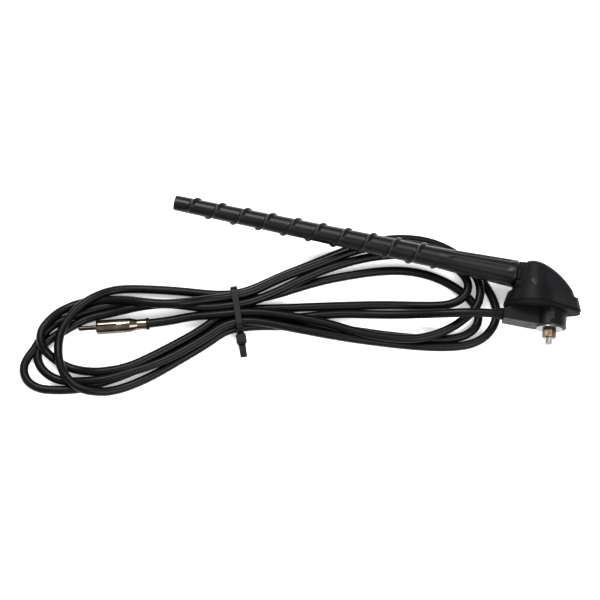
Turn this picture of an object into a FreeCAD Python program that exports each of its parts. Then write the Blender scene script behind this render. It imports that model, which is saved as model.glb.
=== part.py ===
import FreeCAD, Part
import math
import os
import re
import Sketcher

# Roof antenna with its coaxial lead, lying on its side with the lead tied in a hank.
# Row frame in millimetres: the origin is on the stud's axis, in the base's plane of symmetry,
# at the roof side of the gasket. X runs towards the nose of the base, Y leaves the roof and
# Z is the hinge axis, which points up while the antenna lies on its side.
SIZES = {
    # mast
    "mast_start": 12.8,
    "mast_length": 236,
    "mast_tip_radius": 5.2,
    "mast_mid_radius": 7.0,
    "grip_length": 54,
    "grip_radius": 9.5,
    "grip_collar": 1.2,
    "tip_round": 0.9,
    "rib_pitch": 17.3,
    "rib_end_margin": 9,
    "rib_width": 2.6,
    "rib_height": 1.35,
    "rib_root": 1,
    "flute_count": 8,
    "flute_depth": 0.45,
    "flute_radius": 1.6,
    "flute_length": 46,
    "rod_radius": 2.2,
    "tip_cover": 17,
    "ferrule_radius": 5.2,
    "ferrule_length": 30,
    "ferrule_thread_depth": 14,
    "mast_rest_angle": 6.85,
    # swivel
    "pivot_x": -11.5,
    "pivot_y": 22.4,
    "hub_radius": 9.4,
    "hub_width": 10,
    "neck_half_height": 7.6,
    "neck_radius": 7.4,
    "neck_collar": 2.2,
    "swivel_stud_radius": 2.5,
    "swivel_stud_depth": 6,
    "swivel_stud_reach": 12,
    "pin_radius": 2.5,
    "pin_clearance": 0.05,
    "friction_washer_radius": 6,
    "friction_washer_thick": 0.6,
    "side_clearance": 0.05,
    "ear_thick": 1.8,
    "ear_radius": 6.5,
    "bracket_floor": 3,
    "bracket_front": 8,
    # dome
    "half_width": 21,
    "skirt_height": 8,
    "skirt_draft": 2.2,
    "ledge": 1.4,
    "rear_centre_x": -11,
    "nose_x": 20.5,
    "nose_radius": 8,
    "dome_top_half_width": 10.4,
    "dome_top_nose_x": 8,
    "dome_top_nose_radius": 4,
    "ridge_radius": 41.2,
    "ridge_centre_x": -19.7,
    "ridge_centre_y": -8.3,
    "ridge_round": 4.5,
    "cheek_rear_x": -18.4,
    "cheek_lean": 3,
    "saddle_gap": 0.5,
    "slot_clearance": 0.15,
    "slot_front_x": -1.6,
    "slot_rear_x": -21.6,
    "head_room": 1,
    "rivet_x": -13.7,
    "rivet_y": 15.6,
    "rivet_radius": 1.6,
    "rivet_head_radius": 2.5,
    "rivet_head_height": 1.1,
    # roof joint
    "gasket_thick": 2.2,
    "gasket_inset": 0.6,
    "stud_radius": 2.5,
    "stud_length": 23,
    "stud_chamfer": 0.6,
    "stud_groove_start": 18.5,
    "stud_groove_width": 0.7,
    "stud_groove_depth": 0.35,
    "stud_head_radius": 4.6,
    "stud_head_height": 2.6,
    "bush_wall": 1.5,
    "bush_depth": 3,
    "fit_clearance": 0.1,
    # cable block
    "block_height": 11,
    "boss_radius": 11,
    "arm_length": 31.5,
    "arm_half_width": 7.5,
    "arm_tip_height": 9.2,
    "arm_corner": 3,
    "claw_outer_radius": 9.4,
    "claw_thick": 0.8,
    "claw_tab_width": 3.2,
    "claw_tab_length": 7.5,
    "terminal_radius": 5.4,
    "terminal_thick": 0.8,
    "terminal_tab_length": 9,
    "terminal_tab_width": 3.6,
    "washer_radius": 8.8,
    "washer_thick": 1.2,
    "lock_radius": 4.6,
    "lock_thick": 1.3,
    "lock_gap": 1,
    "nut_across_flats": 8,
    "nut_height": 4.7,
    "nut_chamfer": 0.6,
    "thread_clearance": 0.03,
    # cable
    "cable_radius": 3,
    "cable_y": -4.6,
    "relief_radius": 4.1,
    "relief_tip_radius": 3.6,
    "relief_length": 6,
    "relief_depth": 7,
    # hank and tie
    "hank_height": 12,
    "tie_x": -209.6,
    "tie_y": -14.8,
    "tie_angle": 14,
    "tie_width": 4.6,
    "tie_thick": 1.2,
    "waist_half_width": 15,
    "tie_head_length": 7.5,
    "tie_head_height": 6,
    "tie_head_width": 7,
    "tie_tail_length": 9,
    # plug
    "plug_x": -267.4,
    "plug_y": -29.6,
    "plug_angle": 9.8,
    "plug_shell_radius": 4.8,
    "plug_shell_length": 22.5,
    "plug_shell_wall": 0.5,
    "plug_slot_width": 1,
    "plug_slot_length": 17,
    "plug_nose": 1.2,
    "plug_taper_length": 5,
    "plug_crimp_radius": 3.6,
    "plug_crimp_length": 6,
    "plug_pin_radius": 1.6,
    "plug_pin_length": 12,
    "plug_insulator_length": 9,
    "plug_collar_radius": 4,
    "plug_collar_length": 2.2,
}

doc = FreeCAD.newDocument("RoofAntenna")
sheet = doc.addObject("Spreadsheet::Sheet", "Sizes")
for row, (alias, value) in enumerate(SIZES.items(), start=1):
    sheet.set(f"A{row}", alias)
    sheet.set(f"B{row}", str(value))
    sheet.setAlias(f"B{row}", alias)
doc.recompute()

X_AXIS = FreeCAD.Vector(1, 0, 0)
Y_AXIS = FreeCAD.Vector(0, 1, 0)
Z_AXIS = FreeCAD.Vector(0, 0, 1)


def size(alias):
    """One driving dimension as a number."""
    return float(sheet.get(alias))


def cells(words):
    """A formula in plain size names, as an expression on the sheet."""
    return re.sub(r"[a-z_]+", lambda m: f"Sizes.{m[0]}" if m[0] in SIZES else m[0], words)


def bind(thing, **formulas):
    """Ties properties to formulas; a double underscore stands for a dot."""
    for name, words in formulas.items():
        thing.setExpression(name.replace("__", "."), cells(words))
    return thing


# Bodies with sketches


def new_body(label):
    body = doc.addObject("PartDesign::Body", label)
    body.Label = label
    return body


def plane(body, role):
    return next(o for o in body.Origin.OriginFeatures if o.Role == role)


def sketch_on(body, name, role, lift="0"):
    sketch = body.newObject("Sketcher::SketchObject", name)
    sketch.AttachmentSupport = [(plane(body, role), "")]
    sketch.MapMode = "FlatFace"
    bind(sketch, AttachmentOffset__Base__z=lift)
    return sketch


def tie(sketch, kind, geometry, point, words):
    """A signed distance from the sketch's origin, driven by a formula."""
    start = 1.0 + sketch.ConstraintCount
    index = sketch.addConstraint(Sketcher.Constraint(kind, -1, 1, geometry, point, start))
    sketch.setExpression(f"Constraints[{index}]", cells(words))


def polygon(sketch, corners):
    """Straight edges through corners that are given as formulas."""
    count = len(corners)
    first = sketch.GeometryCount
    around = [2 * math.pi * i / count for i in range(count)]
    reach = size("mast_length")
    spots = [FreeCAD.Vector(reach * math.cos(a), reach * math.sin(a), 0) for a in around]
    for i in range(count):
        sketch.addGeometry(Part.LineSegment(spots[i], spots[(i + 1) % count]))
    for i in range(count):
        follow = first + (i + 1) % count
        sketch.addConstraint(Sketcher.Constraint("Coincident", first + i, 2, follow, 1))
    for i, (across, along) in enumerate(corners):
        tie(sketch, "DistanceX", first + i, 1, across)
        tie(sketch, "DistanceY", first + i, 1, along)


def ring(sketch, across, along, radius):
    """A circle whose centre and radius are formulas."""
    index = sketch.addGeometry(Part.Circle(FreeCAD.Vector(1, 1, 0), Z_AXIS, 1))
    tie(sketch, "DistanceX", index, 3, across)
    tie(sketch, "DistanceY", index, 3, along)
    hold = sketch.addConstraint(Sketcher.Constraint("Radius", index, 1.0))
    sketch.setExpression(f"Constraints[{hold}]", cells(radius))


def feature(body, kind, name, sketch, **formulas):
    made = body.newObject(f"PartDesign::{kind}", name)
    made.Profile = sketch
    bind(made, **formulas)
    return made


def spin(body, kind, name, sketch, axis="H_Axis"):
    made = body.newObject(f"PartDesign::{kind}", name)
    made.Profile = sketch
    made.ReferenceAxis = (sketch, [axis])
    made.Angle = 360
    return made


def rectangle(left, low, right, high):
    return [(left, low), (right, low), (right, high), (left, high)]


# Plain solids


def cylinder(name, radius, length, x="0", y="0", z="0", axis=Z_AXIS):
    made = doc.addObject("Part::Cylinder", name)
    turn = FreeCAD.Rotation(Z_AXIS, axis)
    made.Placement = FreeCAD.Placement(FreeCAD.Vector(), turn)
    bind(made, Radius=radius, Height=length)
    return bind(made, Placement__Base__x=x, Placement__Base__y=y, Placement__Base__z=z)


def box(name, length, width, height, x, y, z):
    made = doc.addObject("Part::Box", name)
    bind(made, Length=length, Width=width, Height=height)
    return bind(made, Placement__Base__x=x, Placement__Base__y=y, Placement__Base__z=z)


def fuse(name, *shapes):
    made = doc.addObject("Part::MultiFuse", name)
    made.Shapes = list(shapes)
    made.Refine = True
    return made


def cut(name, base, tool):
    made = doc.addObject("Part::Cut", name)
    made.Base = base
    made.Tool = tool
    return made


def label(thing, words):
    thing.Label = words
    return thing


def tube(name, outer, inner, length, x="0", y="0", z="0", axis=Z_AXIS):
    wall = cylinder(f"{name}_outer", outer, length, x, y, z, axis)
    bore = cylinder(f"{name}_bore", inner, length, x, y, z, axis)
    return label(cut(f"{name}_tube", wall, bore), name)


parts = []

# The mast group is drawn along its own X, from the pivot out to the tip
mast_parts = []


def sheath():
    body = new_body("sheath_core")
    outline = sketch_on(body, "sheath_profile", "XY_Plane")
    end = "mast_start + mast_length"
    taper = "mast_start + grip_length"
    bore_end = "mast_start + ferrule_length"
    rod_end = "mast_start + mast_length - tip_cover"
    polygon(outline, [
        ("mast_start", "ferrule_radius"),
        ("mast_start", "grip_radius - grip_collar"),
        ("mast_start + grip_collar", "grip_radius"),
        (taper, "mast_mid_radius"),
        (f"{end} - tip_round", "mast_tip_radius"),
        (end, "mast_tip_radius - tip_round"),
        (end, "0"),
        (rod_end, "0"),
        (rod_end, "rod_radius"),
        (bore_end, "rod_radius"),
        (bore_end, "ferrule_radius"),
    ])
    spin(body, "Revolution", "sheath_turned", outline)
    doc.recompute()

    flute = sketch_on(body, "flute_section", "YZ_Plane", "mast_start + grip_collar * 2")
    ring(flute, "0", "grip_radius + flute_radius - flute_depth", "flute_radius")
    groove = feature(body, "Pocket", "grip_flute", flute, Length="flute_length")
    groove.Reversed = True
    doc.recompute()
    around = body.newObject("PartDesign::PolarPattern", "grip_flutes")
    around.Originals = [groove]
    around.Axis = (outline, ["H_Axis"])
    around.Angle = 360
    bind(around, Occurrences="flute_count")
    body.Tip = around
    whole = fuse("sheath_whole", body, spiral_rib(taper))
    whole.Refine = False
    return label(whole, "mast_sheath")


def spiral_rib(start):
    """A left-handed spiral fin, trimmed by a cone that stands a rib's height above the mast."""
    body = new_body("rib_core")
    section = sketch_on(body, "rib_section", "XY_Plane")
    polygon(section, rectangle(
        start, "mast_tip_radius - rib_root", f"{start} + rib_width", "mast_mid_radius * 2"))
    doc.recompute()
    fin = body.newObject("PartDesign::AdditiveHelix", "spiral_fin")
    fin.Profile = section
    fin.ReferenceAxis = (section, ["H_Axis"])
    fin.Mode = 0
    fin.LeftHanded = True
    bind(fin, Pitch="rib_pitch", Height="mast_length - grip_length - rib_end_margin")
    doc.recompute()
    cone = doc.addObject("Part::Cone", "rib_crest")
    cone.Placement = FreeCAD.Placement(FreeCAD.Vector(), FreeCAD.Rotation(Z_AXIS, X_AXIS))
    bind(cone, Radius1="mast_mid_radius + rib_height", Radius2="mast_tip_radius + rib_height",
         Height="mast_length - grip_length", Placement__Base__x=start)
    trimmed = doc.addObject("Part::Common", "rib_trimmed")
    trimmed.Base = body
    trimmed.Tool = cone
    return trimmed


def rod():
    return label(
        cylinder("rod_core", "rod_radius", "mast_length - tip_cover - ferrule_thread_depth",
                 "mast_start + ferrule_thread_depth", axis=X_AXIS),
        "mast_rod",
    )


def ferrule():
    body = new_body("mast_ferrule")
    outline = sketch_on(body, "ferrule_profile", "XY_Plane")
    end = "mast_start + ferrule_length"
    floor = "mast_start + ferrule_thread_depth"
    polygon(outline, [
        ("mast_start", "swivel_stud_radius + thread_clearance"),
        ("mast_start", "ferrule_radius"),
        (end, "ferrule_radius"),
        (end, "rod_radius"),
        (floor, "rod_radius"),
        (floor, "swivel_stud_radius + thread_clearance"),
    ])
    spin(body, "Revolution", "ferrule_turned", outline)
    return body


def knuckle():
    body = new_body("swivel_knuckle")
    side = sketch_on(body, "hub_profile", "XY_Plane")
    ring(side, "0", "0", "hub_radius")
    feature(body, "Pad", "hub", side, Length="hub_width").Midplane = True
    doc.recompute()
    web = sketch_on(body, "neck_profile", "XY_Plane")
    polygon(web, [
        ("0", "-hub_radius"),
        ("mast_start", "-neck_half_height"),
        ("mast_start", "neck_half_height"),
        ("0", "hub_radius"),
    ])
    feature(body, "Pad", "neck", web, Length="hub_width").Midplane = True
    doc.recompute()
    collar = sketch_on(body, "collar_profile", "XY_Plane")
    polygon(collar, rectangle("mast_start - neck_collar", "0", "mast_start", "neck_radius"))
    spin(body, "Revolution", "collar", collar)
    doc.recompute()
    hole = sketch_on(body, "pivot_hole", "XY_Plane")
    ring(hole, "0", "0", "pin_radius + pin_clearance")
    feature(body, "Pocket", "pivot_bore", hole, Length="hub_width * 2").Midplane = True
    doc.recompute()
    socket = sketch_on(body, "stud_socket", "XY_Plane")
    polygon(socket, rectangle(
        "mast_start - swivel_stud_depth", "0", "mast_start", "swivel_stud_radius"))
    spin(body, "Groove", "stud_bore", socket)
    return body


def swivel_stud():
    body = new_body("swivel_stud")
    outline = sketch_on(body, "stud_profile", "XY_Plane")
    start = "mast_start - swivel_stud_depth"
    end = "mast_start + swivel_stud_reach"
    polygon(outline, [
        (start, "0"),
        (start, "swivel_stud_radius"),
        (f"{end} - stud_chamfer", "swivel_stud_radius"),
        (end, "swivel_stud_radius - stud_chamfer"),
        (end, "0"),
    ])
    spin(body, "Revolution", "stud_turned", outline)
    return body


def lay_mast(thing):
    """Puts a mast piece on the pivot, folded back along the roof."""
    holder = thing
    if thing.TypeId != "PartDesign::Body":
        holder = doc.addObject("Part::Compound", f"{thing.Label}_placed")
        holder.Links = [thing]
        name = thing.Label
        thing.Label = f"{name}_drawn"
        holder.Label = name
    holder.Placement = FreeCAD.Placement(FreeCAD.Vector(), FreeCAD.Rotation(Z_AXIS, 170))
    bind(holder, Placement__Base__x="pivot_x", Placement__Base__y="pivot_y")
    bind(holder, Placement__Rotation__Angle="(180 - mast_rest_angle) * 1 deg")
    return holder


for make in (sheath, rod, ferrule, knuckle, swivel_stud):
    parts.append(lay_mast(make()))

# Hinge pieces that stay with the base


def pivot_pin():
    reach = "hub_width / 2 + friction_washer_thick + side_clearance * 2 + ear_thick"
    return label(
        cylinder("pin_core", "pin_radius", f"({reach}) * 2", "pivot_x", "pivot_y",
                 f"-({reach})"),
        "pivot_pin",
    )


def friction_washers():
    seat = "hub_width / 2 + side_clearance"
    pair = []
    for side, z in (("near", seat), ("far", f"-({seat}) - friction_washer_thick")):
        pair.append(tube(f"washer_{side}", "friction_washer_radius",
                         "pin_radius + pin_clearance", "friction_washer_thick",
                         "pivot_x", "pivot_y", z))
    made = doc.addObject("Part::Compound", "friction_washers")
    made.Links = pair
    return made


EAR_IN = "hub_width / 2 + side_clearance * 2 + friction_washer_thick"
EAR_OUT = f"{EAR_IN} + ear_thick"


def pivot_bracket():
    body = new_body("pivot_bracket")
    ear = sketch_on(body, "ear_profile", "XY_Plane")
    polygon(ear, [
        ("pivot_x - ear_radius", "gasket_thick"),
        ("bracket_front", "gasket_thick"),
        ("bracket_front", "gasket_thick + bracket_floor"),
        ("pivot_x + ear_radius", "gasket_thick + bracket_floor + stud_head_height"),
        ("pivot_x + ear_radius", "pivot_y"),
        ("pivot_x + ear_radius / 2", "pivot_y + ear_radius"),
        ("pivot_x - ear_radius / 2", "pivot_y + ear_radius"),
        ("pivot_x - ear_radius", "pivot_y"),
    ])
    feature(body, "Pad", "ears", ear, Length=f"({EAR_OUT}) * 2").Midplane = True
    doc.recompute()
    gap = sketch_on(body, "ear_gap", "XY_Plane")
    polygon(gap, rectangle(
        "pivot_x - ear_radius * 2", "gasket_thick + bracket_floor",
        "bracket_front * 2", "pivot_y + ear_radius * 2"))
    feature(body, "Pocket", "fork", gap, Length=f"({EAR_IN}) * 2").Midplane = True
    doc.recompute()
    hole = sketch_on(body, "ear_hole", "XY_Plane")
    ring(hole, "pivot_x", "pivot_y", "pin_radius")
    feature(body, "Pocket", "ear_bore", hole, Length=f"({EAR_OUT}) * 3").Midplane = True
    doc.recompute()
    rivet = sketch_on(body, "rivet_hole", "XY_Plane")
    ring(rivet, "rivet_x", "rivet_y", "rivet_radius")
    feature(body, "Pocket", "rivet_bore", rivet, Length=f"({EAR_OUT}) * 3").Midplane = True
    doc.recompute()
    stud = sketch_on(body, "stud_hole", "XZ_Plane", "-gasket_thick")
    ring(stud, "0", "0", "stud_radius")
    bore = feature(body, "Pocket", "stud_bore", stud, Length="bracket_floor * 3")
    bore.Midplane = True
    return body


for make in (pivot_pin, friction_washers, pivot_bracket):
    parts.append(make())

# Dome cover: a drafted skirt with a ledge, and a hood under a ridge that falls to the nose


def teardrop(height, rear_x, half_width, nose_x, nose_radius):
    """Outline of two arcs and their common tangents, level at a height."""
    nose_centre = nose_x - nose_radius
    tilt = math.asin((half_width - nose_radius) / (nose_centre - rear_x))
    side = math.cos(tilt)
    lean = math.sin(tilt)

    def at(x, z):
        return FreeCAD.Vector(x, height, z)

    rear_up = at(rear_x + half_width * lean, half_width * side)
    rear_down = at(rear_x + half_width * lean, -half_width * side)
    nose_up = at(nose_centre + nose_radius * lean, nose_radius * side)
    nose_down = at(nose_centre + nose_radius * lean, -nose_radius * side)
    return Part.Wire([
        Part.Arc(rear_down, at(rear_x - half_width, 0), rear_up).toShape(),
        Part.LineSegment(rear_up, nose_up).toShape(),
        Part.Arc(nose_up, at(nose_x, 0), nose_down).toShape(),
        Part.LineSegment(nose_down, rear_down).toShape(),
    ])


def block_of(left, low, right, high, half_depth):
    corner = FreeCAD.Vector(left, low, -half_depth)
    return Part.makeBox(right - left, high - low, 2 * half_depth, corner)


def prism(corners, half_depth):
    points = [FreeCAD.Vector(x, y, -half_depth) for x, y in corners]
    face = Part.Face(Part.makePolygon(points + points[:1]))
    return face.extrude(FreeCAD.Vector(0, 0, 2 * half_depth))


def dome_cover():
    rim = size("gasket_thick")
    ledge_y = rim + size("skirt_height")
    top_y = size("ridge_centre_y") + size("ridge_radius") + size("head_room")
    rear = size("rear_centre_x")
    wide = size("half_width")
    nose = size("nose_x")
    nose_r = size("nose_radius")
    draft = size("skirt_draft")
    step = draft + size("ledge")
    skirt = Part.makeLoft([
        teardrop(rim, rear, wide, nose, nose_r),
        teardrop(ledge_y, rear, wide - draft, nose - draft, nose_r - draft / 2),
    ], True, True)
    hood = Part.makeLoft([
        teardrop(ledge_y - rim, rear, wide - step, nose - step, nose_r - step / 2),
        teardrop(top_y, rear, size("dome_top_half_width"), size("dome_top_nose_x"),
                 size("dome_top_nose_radius")),
    ], True, True)
    ridge_axis = FreeCAD.Vector(size("ridge_centre_x"), size("ridge_centre_y"), -2 * wide)
    ridge = Part.makeCylinder(size("ridge_radius"), 4 * wide, ridge_axis)
    hood = hood.common(ridge)
    crown = [
        e for e in hood.Edges
        if e.CenterOfMass.y > ledge_y and abs(e.CenterOfMass.z) > size("ridge_round") / 4
        and any(f.Surface.TypeId == "Part::GeomCylinder" and abs(f.Surface.Axis.z) > 0.9
                and e.isSame(g)
                for f in hood.Faces for g in f.Edges)
    ]
    hood = hood.makeFillet(size("ridge_round"), crown)
    shell = skirt.fuse(hood).removeSplitter()

    pivot = (size("pivot_x"), size("pivot_y"))
    slot_half = (size("hub_width") / 2 + 2 * size("side_clearance") + size("ear_thick")
                 + size("friction_washer_thick") + size("slot_clearance"))
    far = 3 * wide
    cheek = size("cheek_rear_x")
    lean = size("cheek_lean")
    fold = math.radians(size("mast_rest_angle"))
    drop = (size("grip_radius") + size("saddle_gap")) / math.cos(fold)
    saddle = [pivot[1] + (pivot[0] - x) * math.tan(fold) - drop for x in (cheek - lean, -far)]
    shell = shell.cut(prism([
        (cheek - lean, saddle[0]), (cheek, top_y), (cheek, far), (-far, far), (-far, saddle[1]),
    ], far))
    shell = shell.cut(block_of(size("slot_rear_x"), rim - 1, size("slot_front_x"), far, slot_half))
    head_top = rim + size("bracket_floor") + size("stud_head_height") + size("head_room")
    shell = shell.cut(block_of(
        size("slot_front_x"), rim - 1, size("bracket_front") + size("slot_clearance"),
        head_top, slot_half))
    for side in (1, -1):
        start = FreeCAD.Vector(size("rivet_x"), size("rivet_y"), 0)
        hole = Part.makeCylinder(size("rivet_radius"), far, start, Z_AXIS * side)
        shell = shell.cut(hole)
    made = doc.addObject("Part::Feature", "dome_cover")
    made.Shape = shell.removeSplitter()
    return made


def cheek_face(dome):
    """How far the cheek's outside stands from the plane of symmetry at the cover rivets."""
    start = FreeCAD.Vector(size("rivet_x") + size("rivet_radius"), size("rivet_y"), 0)
    line = Part.makeLine(start, start + Z_AXIS * 100)
    hits = dome.Shape.common(line)
    return hits.BoundBox.ZMax


def cover_rivets(dome):
    inner = size("hub_width") / 2 + 2 * size("side_clearance") + size("friction_washer_thick")
    outer = cheek_face(dome)
    head_r = size("rivet_head_radius")
    high = size("rivet_head_height")
    ball = (head_r**2 + high**2) / (2 * high)
    solids = []
    for side in (1, -1):
        start = FreeCAD.Vector(size("rivet_x"), size("rivet_y"), side * inner)
        shank = Part.makeCylinder(size("rivet_radius"), outer + high / 2 - inner, start,
                                  Z_AXIS * side)
        seat = FreeCAD.Vector(size("rivet_x"), size("rivet_y"), side * outer)
        cap = Part.makeSphere(ball, seat + Z_AXIS * side * (high - ball))
        keep = Part.makeCylinder(head_r, high, seat, Z_AXIS * side)
        solids.append(shank.fuse(cap.common(keep)).cut(dome.Shape).removeSplitter())
    made = doc.addObject("Part::Feature", "cover_rivets")
    made.Shape = Part.makeCompound(solids)
    return made


def roof_gasket():
    inset = size("gasket_inset")
    outline = teardrop(0, size("rear_centre_x"), size("half_width") - inset,
                       size("nose_x") - inset, size("nose_radius") - inset)
    pad = Part.Face(outline).extrude(FreeCAD.Vector(0, size("gasket_thick"), 0))
    hole_r = size("stud_radius") + size("bush_wall") + 2 * size("fit_clearance")
    hole = Part.makeCylinder(hole_r, 3 * size("gasket_thick"),
                             FreeCAD.Vector(0, -size("gasket_thick"), 0), Y_AXIS)
    made = doc.addObject("Part::Feature", "roof_gasket")
    made.Shape = pad.cut(hole)
    return made


dome = dome_cover()
parts += [dome, cover_rivets(dome), roof_gasket()]

# Roof joint on the stud, all turned about Y


def mount_stud():
    body = new_body("mount_stud")
    outline = sketch_on(body, "bolt_profile", "XY_Plane")
    seat = "gasket_thick + bracket_floor"
    polygon(outline, [
        ("0", "-stud_length"),
        ("stud_radius - stud_chamfer", "-stud_length"),
        ("stud_radius", "-stud_length + stud_chamfer"),
        ("stud_radius", "-stud_groove_start - stud_groove_width"),
        ("stud_radius - stud_groove_depth", "-stud_groove_start - stud_groove_width"),
        ("stud_radius - stud_groove_depth", "-stud_groove_start"),
        ("stud_radius", "-stud_groove_start"),
        ("stud_radius", seat),
        ("stud_head_radius", seat),
        ("stud_head_radius", f"{seat} + stud_head_height - stud_chamfer"),
        ("stud_head_radius - stud_chamfer", f"{seat} + stud_head_height"),
        ("0", f"{seat} + stud_head_height"),
    ])
    spin(body, "Revolution", "bolt_turned", outline, "V_Axis")
    return body


def insulating_bush():
    return tube("insulating_bush", "stud_radius + fit_clearance + bush_wall",
                "stud_radius + fit_clearance", "gasket_thick + bush_depth",
                y="-bush_depth", axis=Y_AXIS)


UNDER_BLOCK = "-block_height"


def cable_block():
    body = new_body("cable_block")
    plan = sketch_on(body, "boss_plan", "XZ_Plane")
    ring(plan, "0", "0", "boss_radius")
    feature(body, "Pad", "boss", plan, Length="block_height")
    doc.recompute()
    side = sketch_on(body, "arm_profile", "XY_Plane")
    polygon(side, [
        ("-arm_length", "-arm_corner"),
        ("-arm_length + arm_corner", "0"),
        ("0", "0"),
        ("0", "-block_height"),
        ("-boss_radius", "-block_height"),
        ("-arm_length", "-arm_tip_height"),
    ])
    feature(body, "Pad", "arm", side, Length="arm_half_width * 2").Midplane = True
    doc.recompute()
    for name, radius, low, high in (
        ("stud_way", "stud_radius + fit_clearance", "-block_height", "0"),
        ("bush_seat", "stud_radius + bush_wall + fit_clearance * 2", "-bush_depth", "0"),
        ("claw_seat", "claw_outer_radius + fit_clearance", "-claw_thick", "0"),
        ("terminal_seat", "terminal_radius + fit_clearance", "-block_height",
         "-block_height + terminal_thick"),
    ):
        half = sketch_on(body, f"{name}_profile", "XY_Plane")
        polygon(half, rectangle("0", low, radius, high))
        spin(body, "Groove", name, half, "V_Axis")
        doc.recompute()
    tag = sketch_on(body, "tag_profile", "XY_Plane")
    polygon(tag, rectangle(
        "-terminal_radius - terminal_tab_length", "-block_height * 2",
        "0", "-block_height + terminal_thick"))
    feature(body, "Pocket", "tag_way", tag,
            Length="terminal_tab_width + fit_clearance * 2").Midplane = True
    doc.recompute()
    slot = sketch_on(body, "tab_plan", "XZ_Plane")
    polygon(slot, rectangle(
        "-claw_tab_width / 2 - fit_clearance", "claw_outer_radius - claw_thick",
        "claw_tab_width / 2 + fit_clearance", "boss_radius * 2"))
    feature(body, "Pocket", "tab_way", slot,
            Length="claw_tab_length + fit_clearance").Reversed = True
    doc.recompute()
    gland = sketch_on(body, "gland_profile", "YZ_Plane", "-arm_length")
    ring(gland, "cable_y", "0", "relief_radius")
    feature(body, "Pocket", "gland_bore", gland, Length="relief_depth").Reversed = True
    return body


def earth_claw():
    body = new_body("earth_claw")
    plan = sketch_on(body, "ring_plan", "XZ_Plane")
    ring(plan, "0", "0", "claw_outer_radius")
    ring(plan, "0", "0", "stud_radius + bush_wall + fit_clearance * 3")
    feature(body, "Pad", "ring_plate", plan, Length="claw_thick")
    doc.recompute()
    tab = sketch_on(body, "tab_profile", "XZ_Plane")
    polygon(tab, rectangle(
        "-claw_tab_width / 2", "claw_outer_radius - claw_thick",
        "claw_tab_width / 2", "boss_radius + claw_thick / 4"))
    feature(body, "Pad", "tab_bend", tab, Length="claw_thick")
    doc.recompute()
    leg = sketch_on(body, "leg_profile", "XZ_Plane")
    polygon(leg, rectangle(
        "-claw_tab_width / 2", "boss_radius - claw_thick * 3 / 4",
        "claw_tab_width / 2", "boss_radius + claw_thick / 4"))
    feature(body, "Pad", "tab_leg", leg, Length="claw_tab_length")
    return body


def ring_terminal():
    body = new_body("ring_terminal")
    plan = sketch_on(body, "eye_plan", "XZ_Plane", "block_height - terminal_thick")
    ring(plan, "0", "0", "terminal_radius")
    feature(body, "Pad", "eye", plan, Length="terminal_thick")
    doc.recompute()
    tail = sketch_on(body, "tail_plan", "XZ_Plane", "block_height - terminal_thick")
    polygon(tail, rectangle(
        "-terminal_radius - terminal_tab_length + fit_clearance", "-terminal_tab_width / 2",
        "0", "terminal_tab_width / 2"))
    feature(body, "Pad", "tail", tail, Length="terminal_thick")
    doc.recompute()
    hole = sketch_on(body, "eye_hole", "XZ_Plane", "block_height - terminal_thick * 2")
    ring(hole, "0", "0", "stud_radius + fit_clearance")
    bore = feature(body, "Pocket", "eye_bore", hole, Length="terminal_thick * 4")
    bore.Reversed = True
    return body


def flat_washer():
    return tube("flat_washer", "washer_radius", "stud_radius + fit_clearance", "washer_thick",
                y="-block_height - washer_thick", axis=Y_AXIS)


UNDER_LOCK = "-block_height - washer_thick - lock_thick"


def lock_washer():
    whole = tube("lock_ring", "lock_radius", "stud_radius + fit_clearance", "lock_thick",
                 y=UNDER_LOCK, axis=Y_AXIS)
    gap = box("lock_split", "lock_gap", "lock_thick * 3", "lock_radius * 2",
              "-lock_gap / 2", f"{UNDER_LOCK} - lock_thick", "0")
    return label(cut("lock_cut", whole, gap), "lock_washer")


def hex_nut():
    body = new_body("hex_nut")
    plan = sketch_on(body, "hex_plan", "XZ_Plane", f"-({UNDER_LOCK})")
    across = "nut_across_flats / 2 / cos(30 deg)"
    polygon(plan, [
        (f"{across} * {round(math.cos(math.radians(a)), 9)}",
         f"{across} * {round(math.sin(math.radians(a)), 9)}")
        for a in range(15, 375, 60)
    ])
    feature(body, "Pad", "hexagon", plan, Length="nut_height")
    doc.recompute()
    low = f"{UNDER_LOCK} - nut_height"
    edge = sketch_on(body, "corner_profile", "XY_Plane")
    polygon(edge, [
        ("nut_across_flats / 2", low),
        ("nut_across_flats", low),
        ("nut_across_flats", f"{low} + nut_chamfer * 3"),
    ])
    spin(body, "Groove", "corner_chamfer", edge, "V_Axis")
    doc.recompute()
    bore = sketch_on(body, "thread_profile", "XY_Plane")
    polygon(bore, rectangle("0", low, "stud_radius + thread_clearance", UNDER_LOCK))
    spin(body, "Groove", "thread_bore", bore, "V_Axis")
    return body


for make in (mount_stud, insulating_bush, cable_block, earth_claw, ring_terminal,
             flat_washer, lock_washer, hex_nut):
    parts.append(make())

# Cable: a strain relief, a lead, the tied hank and a tail to the plug


def strain_relief():
    body = new_body("strain_relief")
    outline = sketch_on(body, "relief_profile", "XY_Plane")
    bore = "cable_radius"
    inside = "-arm_length + relief_depth"
    outside = "-arm_length - relief_length"
    polygon(outline, [
        (outside, bore),
        (inside, bore),
        (inside, "relief_radius"),
        ("-arm_length", "relief_radius"),
        (outside, "relief_tip_radius"),
    ])
    spin(body, "Revolution", "relief_turned", outline)
    bind(body, Placement__Base__y="cable_y")
    return body


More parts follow.
